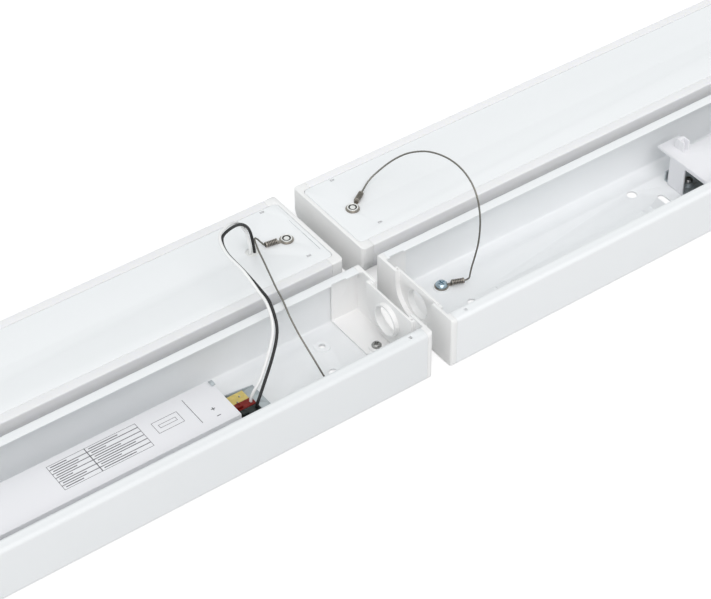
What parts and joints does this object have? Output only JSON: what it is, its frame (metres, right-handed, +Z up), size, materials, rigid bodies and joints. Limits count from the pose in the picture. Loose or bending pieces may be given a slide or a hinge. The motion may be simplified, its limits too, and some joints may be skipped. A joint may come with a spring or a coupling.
{
  "type": "batten light",
  "caption": "Pair of surface batten lights, opened out for wiring: steel trays with driver and terminals, and modules hung on cords beside them.",
  "frame": {"origin": "on the floor, midway between the two battens and midway between the trays and the light modules; bottom centre of the box without the cords", "axes": "+X along the battens, +Y from the trays to the modules, +Z up"},
  "size_m": [1.215, 0.1744, 0.0869],
  "materials": {
    "tray_paint": "smooth white powder coat, satin",
    "cap_plastic": "white moulded plastic, satin",
    "screw_steel": "zinc plated steel",
    "driver_metal": "galvanised sheet steel",
    "board_material": "yellowish circuit board",
    "driver_parts": "dark electronic parts with yellow tape",
    "cover_plastic": "white, smooth",
    "terminal_red": "dark red plastic",
    "terminal_black": "black plastic",
    "diffuser_opal": "opal white, lets light through when lit",
    "led_board": "white lacquered board",
    "led_chip": "yellow phosphor",
    "spring_steel": "bare spring steel",
    "lug_steel": "tinned, slightly dull",
    "blue_zinc": "bluish zinc plating",
    "cord_steel": "thin stranded steel cord, dull",
    "lead_black": "black insulation",
    "lead_white": "white insulation"
  },
  "bodies": {
    "left_base": {"left_tray": "tray_paint", "left_tray_caps": "cap_plastic", "left_tray_screws": "screw_steel", "left_driver_base": "driver_metal", "left_driver_board": "board_material", "left_driver_parts": "driver_parts", "left_driver_cover": "cover_plastic", "left_terminal_plus": "terminal_red", "left_terminal_minus": "terminal_black", "left_mains_block": "cover_plastic", "left_mains_cover": "cover_plastic", "left_tray_lugs": "lug_steel", "left_lug_screws": "blue_zinc", "left_cord_outer": "cord_steel", "left_cord_inner": "cord_steel", "left_lead_black": "lead_black", "left_lead_white": "lead_white"},
    "left_module": {"left_module_pan": "tray_paint", "left_module_caps": "cap_plastic", "left_diffuser": "diffuser_opal", "left_led_board": "led_board", "left_leds": "led_chip", "left_board_clips": "cover_plastic", "left_catch_springs": "spring_steel", "left_module_lugs": "lug_steel", "left_lug_rivets": "screw_steel"},
    "left_button_plus": {"left_button_plus": "terminal_red"},
    "left_button_minus": {"left_button_minus": "terminal_black"},
    "right_base": {"right_tray": "tray_paint", "right_tray_caps": "cap_plastic", "right_tray_screws": "screw_steel", "right_driver_base": "driver_metal", "right_driver_board": "board_material", "right_driver_parts": "driver_parts", "right_driver_cover": "cover_plastic", "right_terminal_plus": "terminal_red", "right_terminal_minus": "terminal_black", "right_mains_block": "cover_plastic", "right_mains_cover": "cover_plastic", "right_tray_lugs": "lug_steel", "right_lug_screws": "blue_zinc", "right_cord_outer": "cord_steel", "right_cord_inner": "cord_steel", "right_lead_black": "lead_black", "right_lead_white": "lead_white"},
    "right_module": {"right_module_pan": "tray_paint", "right_module_caps": "cap_plastic", "right_diffuser": "diffuser_opal", "right_led_board": "led_board", "right_leds": "led_chip", "right_board_clips": "cover_plastic", "right_catch_springs": "spring_steel", "right_module_lugs": "lug_steel", "right_lug_rivets": "screw_steel"},
    "right_button_plus": {"right_button_plus": "terminal_red"},
    "right_button_minus": {"right_button_minus": "terminal_black"}
  },
  "joints": [
    {"name": "left_module_hinge", "type": "hinge", "parent": "left_base", "child": "left_module", "pos_m": [-0.3075, 0, 0.03545], "axis": [1, 0, 0], "range_deg": [0, 180], "deforming": ["left_cord_outer", "left_cord_inner", "left_lead_black", "left_lead_white"]},
    {"name": "left_button_plus_press", "type": "slide", "parent": "left_base", "child": "left_button_plus", "axis": [0, 0, -1], "range_m": [0, 0.0012], "stiffness_N_per_m": 300, "springref_m": -0.001},
    {"name": "left_button_minus_press", "type": "slide", "parent": "left_base", "child": "left_button_minus", "axis": [0, 0, -1], "range_m": [0, 0.0012], "stiffness_N_per_m": 300, "springref_m": -0.001},
    {"name": "batten_slide", "type": "slide", "parent": "left_base", "child": "right_base", "axis": [1, 0, 0], "range_m": [-0.0147, 0.1]},
    {"name": "right_module_hinge", "type": "hinge", "parent": "right_base", "child": "right_module", "pos_m": [0.3075, 0, 0.03545], "axis": [1, 0, 0], "range_deg": [0, 180], "deforming": ["right_cord_outer", "right_cord_inner", "right_lead_black", "right_lead_white"]},
    {"name": "right_button_plus_press", "type": "slide", "parent": "right_base", "child": "right_button_plus", "axis": [0, 0, -1], "range_m": [0, 0.0012], "stiffness_N_per_m": 300, "springref_m": -0.001},
    {"name": "right_button_minus_press", "type": "slide", "parent": "right_base", "child": "right_button_minus", "axis": [0, 0, -1], "range_m": [0, 0.0012], "stiffness_N_per_m": 300, "springref_m": -0.001}
  ]
}
